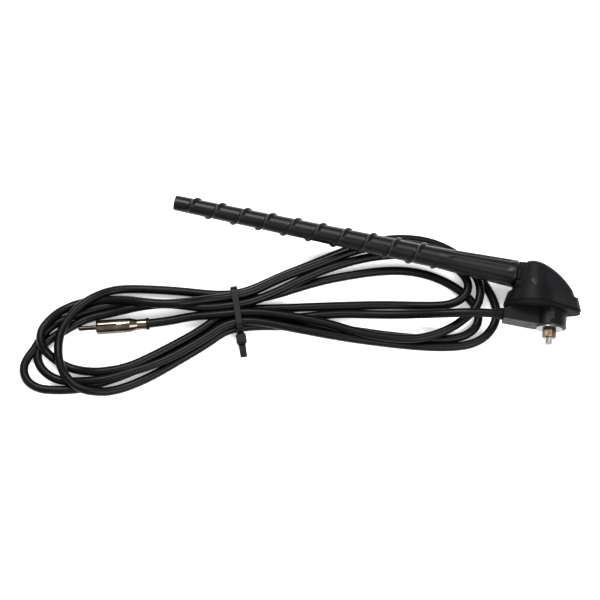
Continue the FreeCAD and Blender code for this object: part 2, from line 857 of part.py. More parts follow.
def lay_tube(name, route):
    """A round tube on straight runs joined by the largest tangent arcs that the runs allow."""
    points = [FreeCAD.Vector(*p) for p in route]
    edges = []
    radii = []
    start = points[0]
    for before, corner, after in zip(points, points[1:], points[2:]):
        back = before - corner
        ahead = after - corner
        turn = math.pi - back.getAngle(ahead)
        reach = 0.45 * min(back.Length, ahead.Length)
        radius = reach / math.tan(turn / 2)
        radii.append(round(radius, 1))
        back.normalize()
        ahead.normalize()
        middle = back + ahead
        middle.normalize()
        bulge = radius / math.cos(turn / 2) - radius
        edges.append(Part.LineSegment(start, corner + back * reach).toShape())
        edges.append(Part.Arc(corner + back * reach, corner + middle * bulge,
                              corner + ahead * reach).toShape())
        start = corner + ahead * reach
    edges.append(Part.LineSegment(start, points[-1]).toShape())
    path = Part.Wire(edges)
    circle = Part.Circle(points[0], points[1] - points[0], size("cable_radius"))
    made = doc.addObject("Part::Feature", name)
    made.Shape = path.makePipeShell([Part.Wire(circle.toShape())], True, False)
    whole = math.pi * size("cable_radius") ** 2 * path.Length
    print(name, "length", round(path.Length, 1), "radii", radii,
          "volume share", round(made.Shape.Volume / whole, 4))
    return made


FLOOR = -size("half_width")
LAID = FLOOR + size("cable_radius")


def plug_point(reach):
    """A point on the plug's axis, measured from the rear of its collar."""
    angle = math.radians(180 + size("plug_angle"))
    return (
        size("plug_x") + reach * math.cos(angle),
        size("plug_y") + reach * math.sin(angle),
        FLOOR + size("plug_shell_radius"),
    )


LEAD_ROUTE = [
    (-size("arm_length") + size("relief_depth"), size("cable_y"), 0),
    (-46, size("cable_y"), 0),
    (-68, -6.6, -3),
    (-91, -7.8, LAID + 6),
    (-115, -8.8, LAID),
    (-142, -10.6, LAID),
    (-168, -15.2, LAID),
    (-190, -20, LAID),
]
TAIL_ROUTE = [
    (-222, -17.4, LAID + 1),
    (-240, -20.6, LAID + 1),
    (-257, -27.8, FLOOR + size("plug_shell_radius")),
    plug_point(size("plug_collar_length") + size("plug_crimp_length") * 0.8),
]

# Outlines of the hank seen from above: the outside, and the openings between its strands
HANK_OUTSIDE = [
    (-213.3, 0.6), (-182, 16.2), (-150, 34.3), (-112, 49), (-92, 50.5), (-64, 44.5),
    (-41, 23.5), (-31.5, 8), (-31, -2.5), (-40, -18), (-54, -26), (-90, -30), (-140, -28),
    (-205.6, -29.8), (-231, -48.3), (-258, -65.5), (-285, -81), (-312, -84.2), (-336, -85.2),
    (-350.5, -74), (-350, -60), (-343, -43), (-330, -22), (-307, -10), (-276, -1.6),
    (-245, -1.2),
]
HANK_LEFT_GAP = [
    (-226, -20), (-240, -14.5), (-262, -17.8), (-282, -22.9), (-300, -28.6), (-314, -33.5),
    (-320, -41), (-320.5, -52), (-316, -60), (-300, -63.2), (-278, -58), (-256, -44.5),
    (-236, -32),
]
HANK_LEAD_GAP = [
    (-172, -13.5), (-140, -7.6), (-112, -5), (-88, -2.6), (-68, 2.4), (-59.5, 2), (-59, -3.5),
    (-73, -15), (-93, -20.8), (-115, -21), (-145, -16.6),
]
HANK_UPPER_GAP = [
    (-165, -1.5), (-140, 11), (-112, 20.5), (-95, 22), (-75, 16.5), (-66, 11.5), (-82, 5),
    (-105, 2.6), (-140, -1.2),
]


def run_of(points):
    """A closed smooth line through points on the floor."""
    curve = Part.BSplineCurve()
    curve.interpolate([FreeCAD.Vector(x, y, FLOOR) for x, y in points], PeriodicFlag=True)
    return Part.Wire(curve.toShape())


def tie_frame():
    """Local axes of the tie: X along the bundle, Y across it and Z up from the floor."""
    spot = FreeCAD.Vector(size("tie_x"), size("tie_y"), FLOOR)
    return FreeCAD.Placement(spot, FreeCAD.Rotation(Z_AXIS, size("tie_angle")))


def slab_at_tie(length, half_width, low, high):
    """A block centred on the tie."""
    corner = FreeCAD.Vector(-length / 2, -half_width, low)
    made = Part.makeBox(length, 2 * half_width, high - low, corner)
    made.Placement = tie_frame()
    return made


def cable_hank():
    deep = FreeCAD.Vector(0, 0, size("hank_height"))
    coil = Part.Face(run_of(HANK_OUTSIDE)).extrude(deep)
    for gap in (HANK_LEFT_GAP, HANK_LEAD_GAP, HANK_UPPER_GAP):
        coil = coil.cut(Part.Face(run_of(gap)).extrude(deep))
    length = size("tie_width") + 2 * size("fit_clearance")
    half = size("waist_half_width")
    high = size("hank_height")
    around = slab_at_tie(length, 2 * half, -high, 2 * high)
    kept = slab_at_tie(2 * length, half, size("tie_thick"), high)
    made = doc.addObject("Part::Feature", "cable_hank")
    made.Shape = coil.cut(around.cut(kept))
    return made


def cable_tie():
    half = size("waist_half_width")
    thick = size("tie_thick")
    high = size("hank_height")
    wide = size("tie_width")
    loop = slab_at_tie(wide, half + thick, 0, high + thick)
    loop = loop.cut(slab_at_tie(3 * wide, half, thick, high))
    head_at = FreeCAD.Vector(-size("tie_head_width") / 2, -half - thick - size("tie_head_length"),
                             thick)
    head = Part.makeBox(size("tie_head_width"), size("tie_head_length"), size("tie_head_height"),
                        head_at)
    stub_at = FreeCAD.Vector(-wide / 2, head_at.y - size("tie_tail_length"),
                             thick + size("tie_head_height") / 3)
    stub = Part.makeBox(wide, size("tie_tail_length") + 1, thick, stub_at)
    for piece in (head, stub):
        piece.Placement = tie_frame()
    made = doc.addObject("Part::Feature", "cable_tie")
    made.Shape = loop.fuse([head, stub]).removeSplitter()
    return made


parts += [
    strain_relief(),
    lay_tube("cable_lead", LEAD_ROUTE),
    cable_hank(),
    lay_tube("cable_tail", TAIL_ROUTE),
    cable_tie(),
]

# Aerial plug, drawn along its own X from the rear of the collar to the tip of the pin
CRIMP_END = "plug_collar_length + plug_crimp_length"
SHELL_START = f"{CRIMP_END} + plug_taper_length"
SHELL_END = f"{SHELL_START} + plug_shell_length"


def plug_collar():
    body = new_body("plug_collar")
    outline = sketch_on(body, "collar_outline", "XY_Plane")
    polygon(outline, rectangle("0", "cable_radius", "plug_collar_length", "plug_collar_radius"))
    spin(body, "Revolution", "collar_turned", outline)
    return body


def plug_shell():
    body = new_body("plug_shell")
    outline = sketch_on(body, "shell_profile", "XY_Plane")
    inner = "plug_shell_radius - plug_shell_wall"
    polygon(outline, [
        ("plug_collar_length", "cable_radius"),
        (CRIMP_END, "cable_radius"),
        (SHELL_START, inner),
        (f"{SHELL_END} - plug_nose", inner),
        (SHELL_END, "plug_shell_radius - plug_shell_wall * 2"),
        (SHELL_END, "plug_shell_radius - plug_shell_wall"),
        (f"{SHELL_END} - plug_nose", "plug_shell_radius"),
        (SHELL_START, "plug_shell_radius"),
        (CRIMP_END, "plug_crimp_radius"),
        ("plug_collar_length", "plug_crimp_radius"),
    ])
    spin(body, "Revolution", "shell_turned", outline)
    doc.recompute()
    for name, role in (("slots_level", "XY_Plane"), ("slots_upright", "XZ_Plane")):
        slot = sketch_on(body, f"{name}_plan", role)
        polygon(slot, rectangle(
            f"{SHELL_END} - plug_slot_length", "-plug_slot_width / 2",
            f"{SHELL_END} + plug_nose", "plug_slot_width / 2"))
        feature(body, "Pocket", name, slot, Length="plug_shell_radius * 4").Midplane = True
        doc.recompute()
    return body


def plug_insulator():
    body = new_body("plug_insulator")
    outline = sketch_on(body, "insulator_profile", "XY_Plane")
    end = f"{SHELL_START} + plug_insulator_length"
    polygon(outline, rectangle(
        SHELL_START, "plug_pin_radius", end, "plug_shell_radius - plug_shell_wall"))
    spin(body, "Revolution", "insulator_turned", outline)
    return body


def plug_pin():
    body = new_body("plug_pin")
    outline = sketch_on(body, "centre_pin_profile", "XY_Plane")
    tip = f"{SHELL_END} + plug_pin_length"
    polygon(outline, [
        (SHELL_START, "0"),
        (SHELL_START, "plug_pin_radius"),
        (f"{tip} - plug_pin_radius / 2", "plug_pin_radius"),
        (f"{tip} - plug_pin_radius / 8", "plug_pin_radius * 0.65"),
        (tip, "plug_pin_radius * 0.3"),
        (tip, "0"),
    ])
    spin(body, "Revolution", "pin_turned", outline)
    return body


for make in (plug_collar, plug_shell, plug_insulator, plug_pin):
    piece = make()
    piece.Placement = FreeCAD.Placement(FreeCAD.Vector(), FreeCAD.Rotation(Z_AXIS, 190))
    bind(piece, Placement__Base__x="plug_x", Placement__Base__y="plug_y",
         Placement__Base__z="plug_shell_radius - half_width",
         Placement__Rotation__Angle="(180 + plug_angle) * 1 deg")
    parts.append(piece)

doc.recompute()
wrong = [o.Name for o in doc.Objects if {"Invalid", "Error"} & set(o.State)]
wrong += [p.Label for p in parts if p.Shape.isNull() or not p.Shape.isValid()]
if wrong:
    raise RuntimeError(f"not built: {wrong}")
os.makedirs("parts", exist_ok=True)
for part in parts:
    part.Shape.exportStep(f"parts/{part.Label}.step")
    print(part.Label, len(part.Shape.Solids), round(part.Shape.Volume, 1))
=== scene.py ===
# %% [markdown]
# # Roof antenna
# The antenna lies on its side on a pale table, with its mast folded back and its lead tied in a
# hank. This script dresses the solids of the frame: it draws the lead as one smooth cable, cuts
# the stud's thread and the tie's teeth, and gives every surface its own finish. Lengths are in
# metres in Blender; the tables below are in millimetres, as a drawing would have them.

# %%
import math

import bmesh
import bpy
from mathutils import Matrix, Vector


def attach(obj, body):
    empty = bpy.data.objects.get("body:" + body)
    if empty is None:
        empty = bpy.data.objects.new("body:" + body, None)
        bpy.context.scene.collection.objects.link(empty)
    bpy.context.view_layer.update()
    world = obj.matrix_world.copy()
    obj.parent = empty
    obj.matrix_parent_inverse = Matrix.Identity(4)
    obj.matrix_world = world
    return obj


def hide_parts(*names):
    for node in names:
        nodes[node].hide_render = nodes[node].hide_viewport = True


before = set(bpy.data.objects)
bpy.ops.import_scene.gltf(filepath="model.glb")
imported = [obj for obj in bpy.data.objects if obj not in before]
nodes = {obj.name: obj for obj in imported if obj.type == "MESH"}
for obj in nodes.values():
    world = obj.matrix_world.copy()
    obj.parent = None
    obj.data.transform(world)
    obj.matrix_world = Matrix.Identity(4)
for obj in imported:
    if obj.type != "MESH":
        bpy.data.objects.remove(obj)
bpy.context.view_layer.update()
MM = 0.001
print("nodes in the frame:", len(nodes))

# %% [markdown]
# ## Helpers
# `linear` turns an sRGB hex colour into the linear values that a shader takes, `add` makes a
# node and sets its inputs, and `ramp` maps a value to tones. `finish_of` builds a whole finish
# from these three.

# %%


def linear(hex_colour):
    """An sRGB hex colour as linear RGBA."""
    parts = [int(hex_colour[i:i + 2], 16) / 255 for i in (1, 3, 5)]
    return [c / 12.92 if c <= 0.04045 else ((c + 0.055) / 1.055) ** 2.4 for c in parts] + [1.0]


def add(tree, kind, inputs=None):
    """A node with its inputs: plain values, or sockets to link."""
    node = tree.nodes.new(kind)
    for name, value in (inputs or {}).items():
        if isinstance(value, bpy.types.NodeSocket):
            tree.links.new(value, node.inputs[name])
        else:
            node.inputs[name].default_value = value
    return node


def ramp(tree, source, stops):
    """A colour ramp over a value; stops are (position, grey or hex colour)."""
    node = add(tree, "ShaderNodeValToRGB", {"Fac": source})
    while len(node.color_ramp.elements) < len(stops):
        node.color_ramp.elements.new(0.5)
    for element, (place, colour) in zip(node.color_ramp.elements, stops):
        element.position = place
        grey = not isinstance(colour, str)
        element.color = [colour, colour, colour, 1] if grey else linear(colour)
    return node.outputs["Color"]


GRAIN_DEPTH = 0.3  # as a share of the grain's size


def finish_of(name, dark, light, rough, grain_mm, bump, metallic=0.0, specular=0.5,
              patch_mm=14.0):
    """A finish: patchy colour between two tones, uneven gloss and a fine surface grain."""
    material = bpy.data.materials.new(name)
    material.use_nodes = True
    tree = material.node_tree
    shader = tree.nodes["Principled BSDF"]
    place = add(tree, "ShaderNodeTexCoord").outputs["Object"]
    patch = add(tree, "ShaderNodeTexNoise",
                {"Vector": place, "Scale": 1 / (patch_mm * MM), "Detail": 3.0})
    grain = add(tree, "ShaderNodeTexNoise",
                {"Vector": place, "Scale": 1 / (grain_mm * MM), "Detail": 2.0})
    colour = ramp(tree, patch.outputs["Fac"], [(0.3, dark), (0.7, light)])
    gloss = ramp(tree, patch.outputs["Fac"], [(0.25, rough[0]), (0.75, rough[1])])
    tree.links.new(colour, shader.inputs["Base Color"])
    tree.links.new(gloss, shader.inputs["Roughness"])
    shader.inputs["Metallic"].default_value = metallic
    shader.inputs["Specular IOR Level"].default_value = specular
    relief = add(tree, "ShaderNodeBump",
                 {"Height": grain.outputs["Fac"], "Strength": bump,
                  "Distance": grain_mm * MM * GRAIN_DEPTH})
    tree.links.new(relief.outputs["Normal"], shader.inputs["Normal"])
    return material


# %% [markdown]
# ## Finishes
# Each is named for the real surface, but the plug pin's nickel is painted darker than the shell's
# as painted dark reflection. The black parts differ in gloss: the mast is satin rubber, the lead
# is smoother, the dome has a fine moulded grain and the gasket is matt. The table gives each
# solid its finish; the pieces drawn further below bring their own.

# %%
BLACK = {"specular": 0.1}
mast_rubber = finish_of("satin_mast_rubber", "#050505", "#090909", (0.3, 0.4), 0.5, 0.12,
                        specular=0.2)
dome_plastic = finish_of("grained_dome_plastic", "#08080a", "#0d0d10", (0.36, 0.48), 0.4, 0.2,
                         **BLACK)
swivel_plastic = finish_of("satin_swivel_plastic", "#070707", "#0c0c0c", (0.36, 0.5), 0.4, 0.12,
                           **BLACK)
rivet_plastic = finish_of("satin_rivet_plastic", "#0c0c0e", "#121214", (0.42, 0.5), 0.4, 0.05,
                          specular=0.3)
gasket_rubber = finish_of("matt_gasket_rubber", "#040404", "#080808", (0.6, 0.75), 0.3, 0.25,
                          **BLACK)
block_plastic = finish_of("moulded_block_plastic", "#070707", "#0d0d0d", (0.34, 0.5), 0.4, 0.15,
                          **BLACK)
cable_pvc = finish_of("satin_cable_sheath", "#040404", "#080808", (0.28, 0.4), 0.6, 0.1, **BLACK)
tie_nylon = finish_of("black_nylon", "#040404", "#080809", (0.32, 0.44), 0.5, 0.08, **BLACK)
natural_plastic = finish_of("natural_polyethylene", "#c9c4b4", "#d8d4c6", (0.4, 0.5), 0.5, 0.1)
METAL = {"metallic": 1.0, "patch_mm": 3.0}
zinc_steel = finish_of("bright_zinc_plate", "#8f8d8a", "#b5b2ad", (0.26, 0.4), 0.3, 0.12, **METAL)
dull_steel = finish_of("dull_tinned_steel", "#1d1b1a", "#383532", (0.4, 0.55), 0.3, 0.15, **METAL)
yellow_zinc = finish_of("yellow_zinc_plate", "#231d16", "#5a4d3b", (0.22, 0.36), 0.3, 0.12,
                        **METAL)
turned_brass = finish_of("turned_brass", "#9c7a3c", "#b8975a", (0.25, 0.38), 0.3, 0.1, **METAL)
washer_zinc = finish_of("bright_washer_zinc", "#85858a", "#a2a2a8", (0.26, 0.38), 0.3, 0.08,
                        **METAL)
NICKEL = {"metallic": 1.0, "patch_mm": 9.0}
bright_nickel = finish_of("bright_nickel_plate", "#4f4740", "#73685e", (0.12, 0.2), 0.4, 0.03,
                          **NICKEL)
# The plug pin's nickel is painted much darker than the shell's: painted dark reflection.
painted_dark_reflection_nickel = finish_of("nickel_plate_painted_dark_reflection", "#221f1d", "#35312d", (0.12, 0.2), 0.4, 0.03,
                        **NICKEL)

FINISHES = {
    "mast_rod": zinc_steel, "mast_ferrule": turned_brass, "swivel_knuckle": swivel_plastic,
    "swivel_stud": zinc_steel, "pivot_pin": zinc_steel, "friction_washers": natural_plastic,
    "pivot_bracket": zinc_steel, "dome_cover": dome_plastic, "cover_rivets": rivet_plastic,
    "roof_gasket": gasket_rubber, "insulating_bush": natural_plastic,
    "cable_block": block_plastic, "earth_claw": dull_steel, "ring_terminal": dull_steel,
    "flat_washer": washer_zinc, "lock_washer": yellow_zinc, "hex_nut": yellow_zinc,
    "strain_relief": gasket_rubber, "plug_collar": block_plastic, "plug_shell": bright_nickel,
    "plug_insulator": natural_plastic, "plug_pin": painted_dark_reflection_nickel,
}
for name, material in FINISHES.items():
    nodes[name].data.materials.clear()
    nodes[name].data.materials.append(material)
print("finishes:", len(bpy.data.materials))

# %% [markdown]
# ## The lead and its hank
# One cable runs from the strain relief to the plug. It goes four times round the hank: a left
# bend, back through the tie, a right bend, and through the tie again. Nine strands lie in the
# tie, five on the table and four in the hollows between them.

# %%
FLOOR = -21.0
CABLE_RADIUS = 3.0
LOW = FLOOR + CABLE_RADIUS
STRAND_RISE = 5.7
PLUG_HEIGHT = FLOOR + 4.8
TIE = Vector((-209.6, -14.8, 0))
TIE_TURN = math.radians(14)
TIE_REACH = 9.0
TIE_LAYERS = (FLOOR + 4.0, FLOOR + 9.1)
ALONG = Vector((math.cos(TIE_TURN), math.sin(TIE_TURN), 0))
ACROSS = Vector((-ALONG.y, ALONG.x, 0))


def in_tie(offset, layer, leftward):
    """Two points that carry a strand straight through the tie."""
    ends = [TIE + ALONG * reach + ACROSS * offset for reach in (TIE_REACH, -TIE_REACH)]
    points = [(p.x, p.y, TIE_LAYERS[layer]) for p in ends]
    return points if leftward else points[::-1]


def laid(*points):
    """Points in plan with a level: 0 on the table, 1 on one strand, 2 on two strands."""
    return [(x, y, LOW + STRAND_RISE * level) for x, y, level in points]


LEAD = [
    (-24.5, -4.6, 0), (-46, -4.6, 0), (-68, -6.6, -3), (-91, -7.4, LOW + 6), (-115, -8.1, LOW),
    (-142, -9.8, LOW), (-168, -15.4, LOW), (-190, -18.8, LOW),
]
LEFT_BENDS = [
    laid((-231, -35.8, 0), (-257.6, -53, 0), (-278.9, -65.6, 0), (-296.6, -73.8, 0),
         (-307.4, -78.1, 0), (-316.3, -79.9, 0), (-326, -81, 0), (-335.9, -81.1, 0),
         (-344.6, -76.9, 0), (-348.3, -68.6, 0), (-346.5, -61.2, 0), (-343, -55.6, 0),
         (-340.6, -50.4, 0), (-338.4, -45.3, 0), (-334.3, -38.6, 0), (-329.2, -34.6, 0),
         (-324.1, -31.5, 0), (-318.2, -28, 0), (-310.3, -24.3, 0), (-301.4, -21, 0),
         (-289.8, -18, 0), (-272.6, -16.2, 0), (-258.3, -14.4, 0), (-238, -12, 0)),
    laid((-227.8, -39.8, 0), (-247.7, -54.7, 0), (-262.8, -65.9, 0), (-278.1, -74.7, 0.1),
         (-289.6, -79.2, 0.4), (-297.9, -80.4, 0.8), (-306.5, -80, 1), (-313.7, -76.7, 1),
         (-319.8, -71, 1), (-323.6, -64, 1.1), (-325.5, -57, 1.1), (-326.2, -49.8, 1),
         (-325.7, -42.6, 1), (-323.1, -35.4, 1), (-318, -26.6, 1), (-311.9, -20.1, 1),
         (-304.7, -14.3, 0.8), (-294.8, -8.5, 0.2), (-282.1, -5.9, 0), (-252, -4.4, 0)),
    laid((-230, -38, 1), (-257, -57, 1), (-279, -66.2, 1), (-289.3, -70.6, 1),
         (-297.7, -72.8, 0.9), (-307, -74, 0.6), (-316.3, -74.3, 0.1), (-325, -73.7, 0),
         (-332.1, -70.4, 0), (-337.1, -65.7, 0), (-339.8, -59.9, 0), (-339.1, -53.8, 0),
         (-335.3, -48.9, 0), (-330.2, -44.3, 0), (-324.9, -40.3, 0), (-313.3, -31.9, 0),
         (-305.9, -28.3, 0.1), (-293.4, -24.6, 0.3), (-284.7, -22.1, 0.7), (-272.5, -18.6, 1),
         (-258.3, -15.7, 1), (-244.9, -15.8, 1), (-233, -16.4, 1)),
    laid((-231, -30.5, 0.5), (-258, -50, 1), (-278.3, -62.4, 1), (-294.8, -66.6, 0.9),
         (-302.5, -66.9, 0.6), (-309.4, -66.3, 0.2), (-315.9, -65.1, 0), (-321.2, -63.5, 0),
         (-326.1, -61, 0), (-330.7, -58.5, 0.5), (-335.1, -55.3, 1), (-337.8, -50.8, 1.1),
         (-338.7, -46.2, 1.1), (-338.1, -41.3, 1), (-335.4, -36.4, 0.9), (-331.5, -30.8, 0.6),
         (-327, -25.9, 0.2), (-318.9, -20.8, 0), (-310.9, -17.9, 0), (-300.3, -16.3, 0.2),
         (-286.2, -15.6, 1), (-272.7, -17.4, 1.8), (-258.3, -17.5, 1.9), (-245.1, -15.4, 2),
         (-232.5, -11.1, 1.25)),
]
RIGHT_BENDS = [
    laid((-184, -0.6, 0), (-167, 7, 0), (-151, 13.2, 0), (-134, 18.2, 0), (-118, 22.2, 0),
         (-103, 24.4, 0), (-89, 24.2, 0), (-76, 21.4, 0), (-63.5, 16.2, 0), (-53, 9, 0),
         (-46.4, 0, 0), (-46.8, -10, 0), (-54.4, -17.4, 0), (-66, -20.8, 0), (-80, -22, 0),
         (-105, -22.2, 0), (-130, -20.8, 0), (-152, -20, 0), (-176, -22, 0)),
    laid((-182.7, 12.4, 0), (-165, 21.4, 0), (-150.7, 29.4, 0), (-132, 39, 0), (-112, 46, 0),
         (-98, 47.6, 0), (-83, 46.8, 0), (-67, 41.5, 0), (-54, 31.5, 0), (-44.3, 21, 0),
         (-37.5, 11, 0), (-34, 1, 0), (-35.8, -9.5, 0), (-42.8, -18.8, 0), (-55, -24.8, 0),
         (-77, -27.4, 0), (-105, -27.6, 0.1), (-135.7, -27.2, 0.7), (-165, -25, 1)),
    laid((-184, -0.5, 1), (-168, 10, 1), (-152, 19, 1), (-136, 26, 1), (-120, 31.2, 1),
         (-104, 34, 1), (-90, 34.6, 1), (-78, 33.4, 1), (-67, 29.8, 1), (-58.6, 24.2, 1),
         (-54.4, 15.6, 1), (-58.2, 7, 0.9), (-67.4, 2.2, 0.6), (-79, 1, 0.3), (-92, 0.4, 0),
         (-107, -0.6, 0), (-127.5, -2.8, 0), (-155, -6.4, 0), (-180.7, -10, 0)),
    laid((-182, 9.8, 1), (-165, 17.8, 1), (-150, 25.6, 1), (-132, 34.8, 1), (-112, 41, 1),
         (-92, 42.3, 1), (-72, 38.5, 1), (-57, 30.2, 1), (-48.6, 21.8, 1), (-46.4, 12, 1),
         (-48.4, 2, 1), (-56.5, -7.5, 1), (-66, -15.2, 1), (-79, -21.8, 1), (-93.3, -25, 1),
         (-114.8, -24.8, 1), (-132, -22.4, 1), (-150, -18.6, 1), (-176, -16, 1)),
]
TAIL = [
    (-225, -20.4, LOW + 5.2), (-240, -22, LOW + 2.5), (-257, -27.4, PLUG_HEIGHT),
    (-274.3, -30.8, PLUG_HEIGHT),
]
# Each strand's offset across the tie and its layer, leftward in BACK and rightward in FORTH.
BACK = [(-6, 0), (-12, 0), (-9, 1), (0, 0), (-3, 1)]
FORTH = [(6, 0), (12, 0), (3, 1), (9, 1)]

route = list(LEAD)
for turn in range(len(FORTH)):
    route += in_tie(*BACK[turn], leftward=True) + LEFT_BENDS[turn]
    route += in_tie(*FORTH[turn], leftward=False) + RIGHT_BENDS[turn]
route += in_tie(*BACK[-1], leftward=True)[:1] + TAIL

curve = bpy.data.curves.new("coaxial_lead", "CURVE")
curve.dimensions = "3D"
line = curve.splines.new("NURBS")
line.points.add(len(route) - 1)
for point, (x, y, z) in zip(line.points, route):
    point.co = (x * MM, y * MM, z * MM, 1)
line.order_u = 3
line.use_endpoint_u = True
line.resolution_u = 6
curve.bevel_depth = CABLE_RADIUS * MM
curve.bevel_resolution = 5
curve.use_fill_caps = True
lead = bpy.data.objects.new("coaxial_lead", curve)
bpy.context.scene.collection.objects.link(lead)
curve.materials.append(cable_pvc)
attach(lead, "base")
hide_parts("cable_lead", "cable_hank", "cable_tail")
print("points in the lead:", len(route))

# %% [markdown]
# ## Turned and moulded forms
# A surface of rings carries the mast and the stud: every ring is a circle whose radius may also
# change round the axis, which is how the spiral rib, the grip's flutes and the thread are made.

# %%


def new_piece(name, bm, material, body, *stands_for):
    """A finished mesh as a piece that rides on a body in place of solids."""
    bmesh.ops.recalc_face_normals(bm, faces=bm.faces)
    mesh = bpy.data.meshes.new(name)
    bm.to_mesh(mesh)
    bm.free()
    mesh.materials.append(material)
    piece = bpy.data.objects.new(name, mesh)
    bpy.context.scene.collection.objects.link(piece)
    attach(piece, body)
    if stands_for:
        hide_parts(*stands_for)
    return piece


def turned(stations, count, radius, place):
    """Rings along local X, capped at both ends; radius(s, angle) is in millimetres."""
    bm = bmesh.new()
    rings = []
    for s in stations:
        ring = []
        for i in range(count):
            angle = 2 * math.pi * i / count
            r = radius(s, angle)
            spot = Vector((s, r * math.cos(angle), r * math.sin(angle))) * MM
            ring.append(bm.verts.new(place @ spot))
        rings.append(ring)
    for one, two in zip(rings, rings[1:]):
        for i in range(count):
            j = (i + 1) % count
            bm.faces.new((one[i], one[j], two[j], two[i])).smooth = True
    for ring in (rings[0], rings[-1]):
        bm.faces.new(ring)
    return bm


def steps(start, end, pitch):
    """Even stations from start to end, about a pitch apart."""
    count = max(1, round((end - start) / pitch))
    return [start + (end - start) * i / count for i in range(count + 1)]


def soft(x):
    """A smooth step from 0 to 1."""
    x = min(1.0, max(0.0, x))
    return x * x * (3 - 2 * x)


# %% [markdown]
# ### Mast sheath
# The sheath tapers from the grip to the tip. A round rib climbs it as a left-handed spiral and
# fades into the surface at both ends, and eight shallow flutes run along the grip.

# %%
MAST_START = 12.8
MAST_END = MAST_START + 236
GRIP_END = MAST_START + 54
GRIP_RADIUS = 9.5
MID_RADIUS = 7.0
TIP_RADIUS = 5.2
ROOT_ROUND = 1.2
TIP_ROUND = 0.9
MAST_SIDES = 80
PIVOT = Vector((-11.5, 22.4, 0))
REST_ANGLE = 6.85
RIB_PITCH = 17.3
RIB_SHIFT = 1.3
RIB_HALF_WIDTH = 1.45
RIB_HEIGHT = 1.3
RIB_FULLNESS = 0.4
RIB_START = GRIP_END - 1
RIB_END = MAST_END - 8
RIB_FADE = 4.0
FLUTES = 8
FLUTE_HALF_WIDTH = 1.25
FLUTE_DEPTH = 0.55
FLUTE_START = 15.5
FLUTE_END = 61.0
FLUTE_FADE = 5.0


def tapered(s):
    """The plain sheath: two cones with rounded edges at the root and the tip."""
    if s < GRIP_END:
        share = (s - MAST_START) / (GRIP_END - MAST_START)
        r = GRIP_RADIUS + (MID_RADIUS - GRIP_RADIUS) * share
    else:
        share = (s - GRIP_END) / (MAST_END - GRIP_END)
        r = MID_RADIUS + (TIP_RADIUS - MID_RADIUS) * share
    r -= 2 * ROOT_ROUND * (1 - soft(0.5 + (s - MAST_START) / ROOT_ROUND / 2))
    return r - TIP_ROUND * max(0.0, (s - MAST_END + TIP_ROUND) / TIP_ROUND) ** 2


def mast_radius(s, angle):
    """The sheath with its spiral rib and the flutes of its grip."""
    r = tapered(s)
    turn = angle / (2 * math.pi)
    off = (s - GRIP_END - RIB_SHIFT + RIB_PITCH * (turn + 0.5)) % RIB_PITCH - RIB_PITCH / 2
    off /= RIB_HALF_WIDTH
    if abs(off) < 1:
        grow = soft((s - RIB_START) / RIB_FADE) * soft((RIB_END - s) / RIB_FADE)
        r += RIB_HEIGHT * grow * (1 - off * off) ** RIB_FULLNESS
    off = ((turn * FLUTES + 0.5) % 1 - 0.5) * 2 * math.pi * r / FLUTES / FLUTE_HALF_WIDTH
    fade = soft((s - FLUTE_START) / FLUTE_FADE) * soft((FLUTE_END - s) / FLUTE_FADE)
    return r - FLUTE_DEPTH * fade * max(0.0, 1 - off * off)


fold = Matrix.Translation(PIVOT * MM)
fold = fold @ Matrix.Rotation(math.radians(180 - REST_ANGLE), 4, "Z")
# The rings stand closer together at the two rounded ends.
stations = steps(MAST_START, MAST_START + ROOT_ROUND, 0.3)
stations += steps(MAST_START + 1.6, MAST_END - TIP_ROUND, 0.45)
stations += steps(MAST_END - 0.7, MAST_END, 0.2)
mast = new_piece("ribbed_mast_sheath", turned(stations, MAST_SIDES, mast_radius, fold),
                 mast_rubber, "mast", "mast_sheath")
print("mast faces:", len(mast.data.polygons))

# %% [markdown]
# ### Stud
# The stud carries an M5 thread of 0.8 mm pitch, with a chamfered end and a round head inside.

# %%
STUD_END = -23.0
STUD_RADIUS = 2.5
STUD_TIP_RADIUS = 1.9
STUD_SIDES = 40
THREAD_PITCH = 0.8
THREAD_DEPTH = 0.42
THREAD_SLOPE = 1.25
THREAD_TOP = -11.0
STUD_HEAD_FOOT = 5.2
STUD_HEAD_EDGE = 7.2
STUD_HEAD_TOP = 7.8
STUD_HEAD_RADIUS = 4.6


def stud_radius(s, angle):
    """The stud's radius: a chamfered end, the thread, a plain shank and the head."""
    if s > STUD_HEAD_FOOT:
        return STUD_HEAD_RADIUS - max(0.0, s - STUD_HEAD_EDGE)
    crest = abs((s / THREAD_PITCH + angle / (2 * math.pi)) % 1 - 0.5) * 2
    groove = THREAD_DEPTH * (1 - min(1.0, crest * THREAD_SLOPE)) * (s < THREAD_TOP)
    return min(STUD_RADIUS - groove, STUD_TIP_RADIUS + max(0.0, s - STUD_END))


upright = Matrix.Rotation(math.radians(90), 4, "Z")
stations = steps(STUD_END, THREAD_TOP + 0.1, THREAD_PITCH / 8)
stations += [STUD_HEAD_FOOT - 0.01, STUD_HEAD_FOOT + 0.01, STUD_HEAD_EDGE, STUD_HEAD_TOP]
stud = new_piece("threaded_stud", turned(stations, STUD_SIDES, stud_radius, upright), zinc_steel,
                 "base", "mount_stud")
print("stud faces:", len(stud.data.polygons))

# %% [markdown]
# ### Cable tie
# A nylon band lies round the nine strands. Its head sits at the near side, and the cut tail
# leaves the head.

# %%
BAND_WIDTH = 4.6
BAND_THICK = 1.1
BAND_LIP = 0.3
BAND_CORNER = 5.0
CORNER_STEPS = 8
HALF = 16.1
TOP = 13.1
TIE_HEAD_SIZE = (6.8, 7.4, 5.8)
TIE_HEAD_ACROSS = -HALF - 3.8
TIE_HEAD_HEIGHT = 4.2
TIE_HEAD_BEVEL = 0.8
TIE_TAIL_START = -HALF - 7.3
TIE_TAIL_END = -HALF - 16.4
TIE_TAIL_TOP = 4.0
TIE_TAIL_THICK = 0.9


